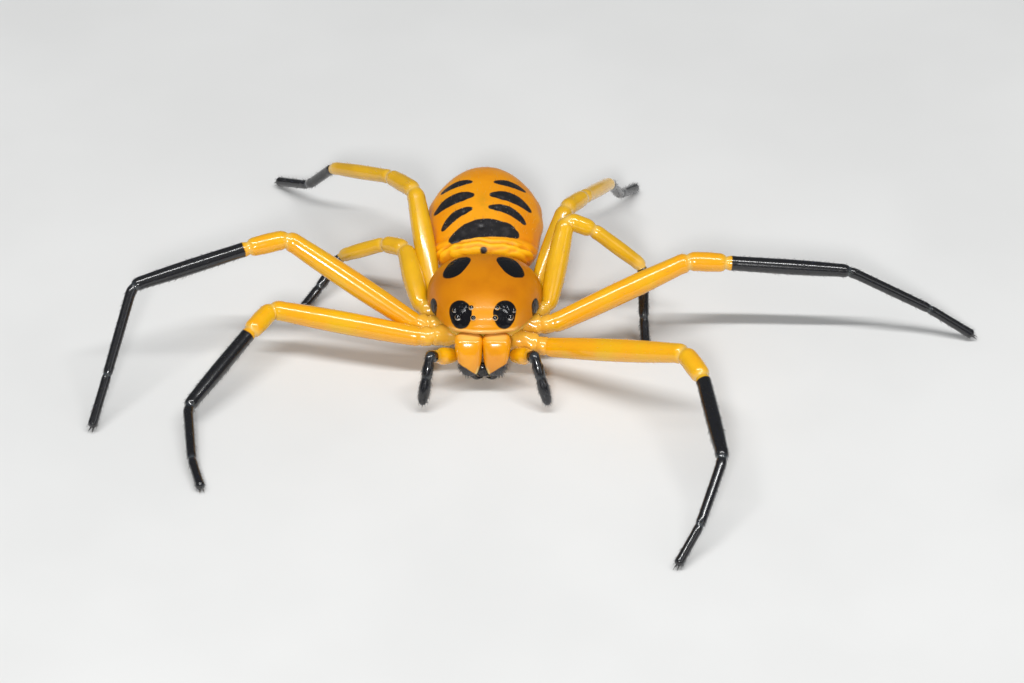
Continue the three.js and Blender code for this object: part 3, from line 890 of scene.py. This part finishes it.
def leg_radius(along, joints, thickness):
    """Thickness along a leg: each segment swells, and draws in at its joints."""
    radius = np.zeros(len(along))
    spans = list(zip(joints[1:-1], joints[2:]))
    for i, (start, stop) in enumerate(spans):
        near, middle, far = thickness[i]
        part = np.clip((along - start) / (stop - start), 0, 1)
        swell = np.sin(np.pi * part)
        here = np.where(part < 0.5, near + (middle - near) * swell, far + (middle - far) * swell)
        radius = np.where((along >= start) & (along <= stop), here, radius)
    hip = joints[1]
    seam = hip - COXA_SEAM
    coxa = 0.54 + 0.05 * np.sin(np.pi * np.clip(along / seam, 0, 1))
    coxa = np.where(along > seam, 0.53, coxa)
    radius = np.where(along < hip, coxa, radius)
    radius *= 1 - 0.13 * hump(along, seam, 0.09)
    radius *= 1 - 0.1 * hump(along, hip, 0.09)
    for k, place in enumerate(joints[2:-1]):
        # A groove at the joint, and a low swelling on either side of it
        radius *= 1 - (0.12 if k < 2 else 0.1) * hump(along, place, 0.11)
        radius *= 1 + 0.04 * hump(along, place - 0.32, 0.18)
        radius *= 1 + 0.04 * hump(along, place + 0.32, 0.18)
    return radius


def leg_piece(name):
    places = LEG_JOINTS[name]
    front = name[1] in "12"
    thickness = FRONT_THICKNESS if front else REAR_THICKNESS
    hip = np.array(places[0])
    root = np.array([hip[0] * 0.25, hip[1] * 0.62, 2.1])
    line, along, joints = limb_line([root] + list(places), 0.6, 0.05)
    total = along[-1]
    radii = leg_radius(along, joints, thickness)
    radii = radii * round_end(total - along, 0.24) + 1e-4
    radii = radii * round_end(along, 0.3) + 1e-4
    sides = 44
    rings, heading = limb_rings(line, radii, sides)
    # Soft lumps around the hip
    turn = ring_angles(sides)[None]
    reach = along[:, None]
    lump = np.sin(2 * turn + 5.0 * reach) + np.sin(3 * turn - 8.0 * reach)
    lump = lump * smooth(joints[1] + 0.3, joints[1] - 0.3, along)[:, None]
    rings = line[:, None] + (rings - line[:, None]) * (1 + 0.035 * lump)[..., None]
    rings[..., 2] = np.maximum(rings[..., 2], 0.004)
    points, faces = closed_grid(rings)
    row, s, wraps = skin_rows(line, along, sides)
    black_start = joints[3] + 0.32 if front else joints[4] + 0.1
    mark = black_start - s
    pale = 0.4 * smooth(joints[1], joints[1] - 0.25, s)
    # Pale rings at the joints: membrane on the yellow parts; on the black parts partly a painted
    # glint
    for k, place in enumerate([joints[1] - COXA_SEAM] + list(joints[1:-1])):
        strength = 0.3 if k < 2 else 0.9
        pale = np.maximum(pale, strength * hump(s, place, 0.11 if k < 4 else 0.09))
    if not front:
        whitish = smooth(joints[4] - 0.9, joints[4] - 0.1, s) * (s < joints[4] + 0.1)
        pale = np.maximum(pale, whitish * 0.8)
    near_tip = smooth(total - 2.4, total - 0.4, s)
    hair = np.where(mark < 0, 0.55 + 0.75 * near_tip, 0.12)
    values = {
        "mark": mark,
        "pale": pale,
        "hair": np.where(s < joints[1], 0.0, hair),
        "lie": heading[row],
    }
    skin = front_leg_skin if front else rear_leg_skin
    piece = make_piece(f"leg_{name}_skin", points, faces, skin, values, wraps)
    settle(piece, "amber_leg", *[f"{name}_{segment}" for segment in SEGMENTS])
    seed = 20 + list(LEG_JOINTS).index(name)
    grow_coat(f"leg_{name}_bristles", piece, 34.0, 0.2, 0.009, 1.7, seed, "black_leg")
    claws(name, line, heading)


def claws(name, line, heading):
    """A pair of curved claws at a foot."""
    tip = line[-1]
    ahead = unit([heading[-1][0], heading[-1][1], 0.0])
    sideways = np.array([-ahead[1], ahead[0], 0.0])
    root = tip - ahead * 0.1 + np.array([0, 0, -0.02])
    parts = []
    t = np.linspace(0, 1, 14)[:, None]
    for side in (1, -1):
        curve = (root + 0.32 * t * ahead + side * (0.06 + 0.06 * t) * sideways
                 - 0.17 * t**2 * np.array([0, 0, 1.0]))
        rings, _ = limb_rings(curve, 0.05 * (1 - 0.9 * t[:, 0]), 10)
        rings[..., 2] = np.maximum(rings[..., 2], 0.002)
        parts.append(closed_grid(rings))
    points, faces = joined(parts)
    piece = make_piece(f"leg_{name}_claws", points, faces, black_horn)
    settle(piece, "black_leg")


for leg_name in LEG_JOINTS:
    leg_piece(leg_name)


def palp_piece(side, suffix):
    places = PALP_PLACES[suffix]
    line, along, joints = limb_line(places, 0.4, 0.04)
    total = along[-1]
    stations = {
        "y": [0, 0.35, 0.9, 1.3, 1.75, 2.15, 2.4, 2.8, 3.2, 3.4, 3.9, 4.4, total],
        "r": [0.4, 0.45, 0.47, 0.36, 0.35, 0.34, 0.27, 0.31, 0.3, 0.27, 0.32, 0.29, 0.2],
    }
    radii = between(stations, along, "r")
    radii = radii * round_end(total - along, 0.25) + 1e-4
    sides = 40
    rings, heading = limb_rings(line, radii, sides)
    points, faces = closed_grid(rings)
    row, s, wraps = skin_rows(line, along, sides)
    mark = joints[1] + 0.3 - s
    pale = 0.5 * hump(s, joints[1], 0.12)
    # Pale rings at the black joints: membrane, partly a painted glint
    for place in joints[2:-1]:
        pale = np.maximum(pale, 0.6 * hump(s, place, 0.08))
    values = {
        "mark": mark,
        "pale": pale,
        "hair": np.where(mark < 0, 0.5 + 1.1 * smooth(joints[2], total, s), 0.0),
        "lie": heading[row],
    }
    piece = make_piece(f"palp_{suffix}_skin", points, faces, front_leg_skin, values, wraps)
    settle(piece, "yellow_skin", f"palp_base_{suffix}", f"palp_tip_{suffix}")
    grow_coat(f"palp_{suffix}_bristles", piece, 60.0, 0.2, 0.009, 1.5, 40 + side, "black_leg")


# Jaws and fangs

JAW_LINE = {
    "y": [0, 0.12, 0.35, 0.65, 0.88, 1],
    "x": [0.73, 0.755, 0.755, 0.715, 0.70, 0.68],
    "reach": [-3.0, -3.05, -3.2, -3.35, -3.42, -3.4],
    "z": [3.32, 3.14, 2.6, 1.95, 1.3, 1.0],
    "wide": [0.5, 0.75, 0.75, 0.66, 0.47, 0.32],
    "deep": [0.3, 0.5, 0.62, 0.6, 0.46, 0.28],
}


def jaw_piece(side, suffix):
    t = np.linspace(0, 1, 90)
    angle = ring_angles(80)
    shrink = line_end(t, -0.001, 1.001, 0.06, 0.08)[:, None]
    x, y, z, wide, deep = (between(JAW_LINE, t, key)[:, None]
                           for key in ("x", "reach", "z", "wide", "deep"))
    wide = wide * shrink
    deep = deep * shrink
    across = squared(np.cos(angle), 0.62)[None] * wide
    fore = squared(np.sin(angle), 0.8)[None] * deep
    rings = np.stack([side * (x + across), y + fore, np.broadcast_to(z, across.shape)], -1)
    points, faces = closed_grid(rings)
    x, y, z = points.T
    outward = x * side
    # The black corner lies below a line that falls from the outer side to the inner tip
    mark = (view_height(y, z) + 1.29 - 0.627 * (outward - 0.35)) / 1.18
    mark = np.where(y < -2.9, mark, 0.3)
    share = (JAW_LINE["z"][0] - z) / (JAW_LINE["z"][0] - JAW_LINE["z"][-1])
    inner_edge = between(JAW_LINE, share, "x") - between(JAW_LINE, share, "wide")
    inner = smooth(0.27, 0.16, outward - inner_edge) * smooth(1.9, 1.6, z)
    values = {
        "mark": mark,
        "pale": np.maximum(inner, smooth(3.22, 3.3, z) * 0.6),
        "hair": smooth(0.06, -0.05, mark),
        "lie": np.tile([-0.2 * side, -0.3, -1.0], (len(points), 1)),
    }
    wraps = unwrap(y + 3.2, outward - 0.7, (z - 1.0) / 2.4)
    points[:, 0] += FACE_MIDDLE
    piece = make_piece(f"jaw_{suffix}_skin", points, faces, jaw_horn, values, wraps)
    settle(piece, "shield", f"chelicera_{suffix}")
    grow_coat(f"jaw_{suffix}_bristles", piece, 90.0, 0.24, 0.012, 0.9, 50 + side, "black_leg")


def fang_piece(side, suffix):
    t = np.linspace(0, 1, 24)[:, None]
    start = np.array([side * 0.62, -3.42, 1.12])
    bend = np.array([side * 0.55, -3.5, 0.66])
    stop = np.array([side * 0.12, -3.3, 0.7])
    curve = (1 - t) ** 2 * start + 2 * t * (1 - t) * bend + t * t * stop
    rings, _ = limb_rings(curve, 0.19 * (1 - 0.85 * t[:, 0] ** 1.3), 16)
    points, faces = closed_grid(rings)
    piece = make_piece(f"fang_{suffix}_horn", points, faces, black_horn)
    settle(piece, "black_leg", f"fang_{suffix}")


def mouth_tuft():
    """Dark hairy lobe that fills the gap between the jaw tips."""
    centre = (FACE_MIDDLE, -3.28, 1.22)
    half = (0.42, 0.32, 0.44)
    points, faces = ball(centre, half, 24, 30)
    x, y, z = points.T
    count = len(points)
    values = {
        "mark": np.full(count, -1.0),
        "pale": np.zeros(count),
        "hair": np.ones(count),
        "lie": np.tile([0.0, -0.4, -1.0], (count, 1)),
    }
    wraps = unwrap(y - centre[1], x - centre[0], (z - centre[2] + half[2]) / (2 * half[2]))
    piece = make_piece("mouth_tuft", points, faces, jaw_horn, values, wraps)
    settle(piece, "shield")
    grow_coat("mouth_bristles", piece, 110.0, 0.24, 0.012, 0.9, 61, "black_leg")


# Eyes: a lens, and for the middle eyes a low collar


COLLAR_ROWS = 40
COLLAR_SIDES = 12


def eye_piece(eye, spec, side, suffix):
    radius = spec["radius"]
    lift = radius * 0.35
    step = 0.02
    x = spec["x"]
    y = spec["y"]
    base, beside, behind = (float(shield_top(np.array(px), np.array(py)))
                            for px, py in ((x, y), (x + step, y), (x, y + step)))
    place = np.array([side * x, y - lift * 0.6, base + lift * 0.6])
    out = unit([(base - beside) / step * side, (base - behind) / step, 1.0])
    right = unit(np.cross(out, [0, 0, 1.0]))
    up = np.cross(right, out)
    polar = np.linspace(0.02, np.pi - 0.02, 20)[:, None, None]
    angle = ring_angles(32)[None, :, None]
    rings = place + radius * (np.cos(polar) * out
                              + np.sin(polar) * (np.cos(angle) * right + np.sin(angle) * up))
    points, faces = closed_grid(rings)
    outward = (points - place) @ out / radius
    below = -((points - place) @ up) / radius
    pale = smooth(0.62, 0.5, outward) * smooth(0.05, 0.45, below)
    lens = make_piece(f"eye_{eye}_{suffix}_lens", points, faces, eye_lens, {"pale": pale})
    settle(lens, "eye_bead", f"eye_{eye}_{suffix}")
    if eye in ("ale", "ple"):
        return
    big = radius * 0.95
    small = radius * 0.2
    round_eye = ring_angles(COLLAR_ROWS)[:, None, None]
    tube = ring_angles(COLLAR_SIDES)[None, :, None]
    collar = (place - out * radius * 0.12
              + (big + small * np.cos(tube)) * (np.cos(round_eye) * right + np.sin(round_eye) * up)
              + small * np.sin(tube) * out)
    points = collar.reshape(-1, 3)
    faces = []
    for i in range(COLLAR_ROWS):
        this_row = i * COLLAR_SIDES
        next_row = (i + 1) % COLLAR_ROWS * COLLAR_SIDES
        for j in range(COLLAR_SIDES):
            k = (j + 1) % COLLAR_SIDES
            faces.append((this_row + j, this_row + k, next_row + k, next_row + j))
    values = {"mark": np.ones(len(points)), "pale": np.ones(len(points))}
    piece = make_piece(f"eye_{eye}_{suffix}_collar", points, faces, shield_horn, values)
    settle(piece, "shield")


# Underside: soft flanks, breastplate, jaw lobes and lip


def ball(centre, half, rows=40, sides=56):
    polar = np.linspace(0.03, np.pi - 0.03, rows)[:, None]
    angle = ring_angles(sides)[None]
    x = np.sin(polar) * np.cos(angle) * half[0]
    y = np.sin(polar) * np.sin(angle) * half[1]
    z = np.broadcast_to(np.cos(polar) * half[2], x.shape)
    return closed_grid(np.stack([x, y, z], -1) + np.array(centre))


# Each swelling of the underside: centre and half sizes
UNDERSIDE = {
    "flanks": ((0, 0.15, 2.72), (2.62, 2.75, 0.62)),
    "breastplate": ((0, 0.25, 2.2), (1.75, 2.25, 0.62)),
    "left lobe": ((0.85, -2.15, 1.7), (0.5, 0.6, 0.34)),
    "right lobe": ((-0.85, -2.15, 1.7), (0.5, 0.6, 0.34)),
    "lip": ((0, -2.0, 1.7), (0.4, 0.5, 0.28)),
    "waist": ((0, 3.0, 3.1), (0.5, 0.6, 0.4)),
}


def underside_piece():
    points, faces = joined([ball(centre, half) for centre, half in UNDERSIDE.values()])
    values = {"pale": np.full(len(points), 0.25)}
    piece = make_piece("underside_skin", points, faces, soft_skin, values)
    settle(piece, "yellow_skin", "sternum")


def spinneret_piece():
    parts = [ball((0, 11.75, 3.3), (0.45, 0.32, 0.38))]
    t = np.linspace(0, 1, 14)
    radii = 0.16 * (1 - 0.45 * t) * np.sqrt(np.clip(1 - t**6, 0.0004, 1))
    for x, z in ((0.2, 3.42), (-0.2, 3.42), (0.2, 3.06), (-0.2, 3.06)):
        curve = np.array([x, 11.8, z]) + t[:, None] * np.array([x * 0.15, 0.6, -0.02])
        rings, _ = limb_rings(curve, radii, 18)
        parts.append(closed_grid(rings))
    points, faces = joined(parts)
    values = {"mark": np.ones(len(points)), "pale": np.zeros(len(points))}
    piece = make_piece("spinneret_skin", points, faces, abdomen_skin, values)
    settle(piece, "abdomen_skin", "spinnerets")


for palp_suffix, palp_side in (("l", 1), ("r", -1)):
    palp_piece(palp_side, palp_suffix)
    jaw_piece(palp_side, palp_suffix)
    fang_piece(palp_side, palp_suffix)
    for eye_name, eye_spec in EYES.items():
        eye_piece(eye_name, eye_spec, palp_side, palp_suffix)
mouth_tuft()
underside_piece()
spinneret_piece()


# Floor, light and camera


FLOOR_REACH = 1.2
PAPER_DIM = (0.70, 0.70, 0.69)
PAPER_LIGHT = (0.74, 0.74, 0.73)
# Each light, in metres and watts: its name, place, length, width and power
LIGHTS = (
    ("key", (-0.02, -0.24, 0.16), 0.04, 0.04, 0.4),
    ("strip", (0.0, -0.05, 0.26), 0.34, 0.012, 0.62),
    ("fill", (0.25, -0.2, 0.18), 0.16, 0.16, 0.08),
)
LIGHTS_AIM = Vector((0, 0, 0.003))


def floor_and_light():
    mesh = bpy.data.meshes.new("floor")
    corners = [(-1, -1), (1, -1), (1, 1), (-1, 1)]
    mesh.from_pydata([(FLOOR_REACH * x, FLOOR_REACH * y, 0) for x, y in corners], [], [(0, 1, 2, 3)])
    floor = add_object("floor", mesh)
    n = Nodes("floor_paper")
    mesh.materials.append(n.finish(n.mottle(60.0, 3.0, PAPER_DIM, PAPER_LIGHT, 0.3), 0.8))
    world = bpy.data.worlds.new("studio")
    bpy.context.scene.world = world
    world.use_nodes = True
    sky = world.node_tree.nodes["Background"]
    sky.inputs["Color"].default_value = (0.9, 0.95, 1.0, 1)
    sky.inputs["Strength"].default_value = 0.16
    for name, place, length, width, power in LIGHTS:
        light = bpy.data.lights.new(name, "AREA")
        light.shape = "RECTANGLE"
        light.size = length
        light.size_y = width
        light.energy = power
        lamp = add_object(name, light)
        lamp.location = place
        lamp.rotation_mode = "QUATERNION"
        lamp.rotation_quaternion = (LIGHTS_AIM - Vector(place)).to_track_quat("-Z", "Y")


def photo_camera():
    camera = bpy.data.cameras.new("camera")
    camera.sensor_width = SENSOR
    camera.lens = FOCAL_PIXELS / PIXELS_ACROSS * SENSOR
    camera.clip_start = 0.01
    camera.clip_end = 10.0
    holder = add_object("camera", camera)
    tilt = math.radians(VIEW_ELEVATION)
    holder.location = Vector(frame_points([CAMERA_PLACE])[0])
    ahead = Vector((0, math.cos(tilt), -math.sin(tilt)))
    holder.rotation_mode = "QUATERNION"
    holder.rotation_quaternion = ahead.to_track_quat("-Z", "Y")
    bpy.context.scene.camera = holder


floor_and_light()
photo_camera()
bpy.context.scene.view_settings.view_transform = "Standard"
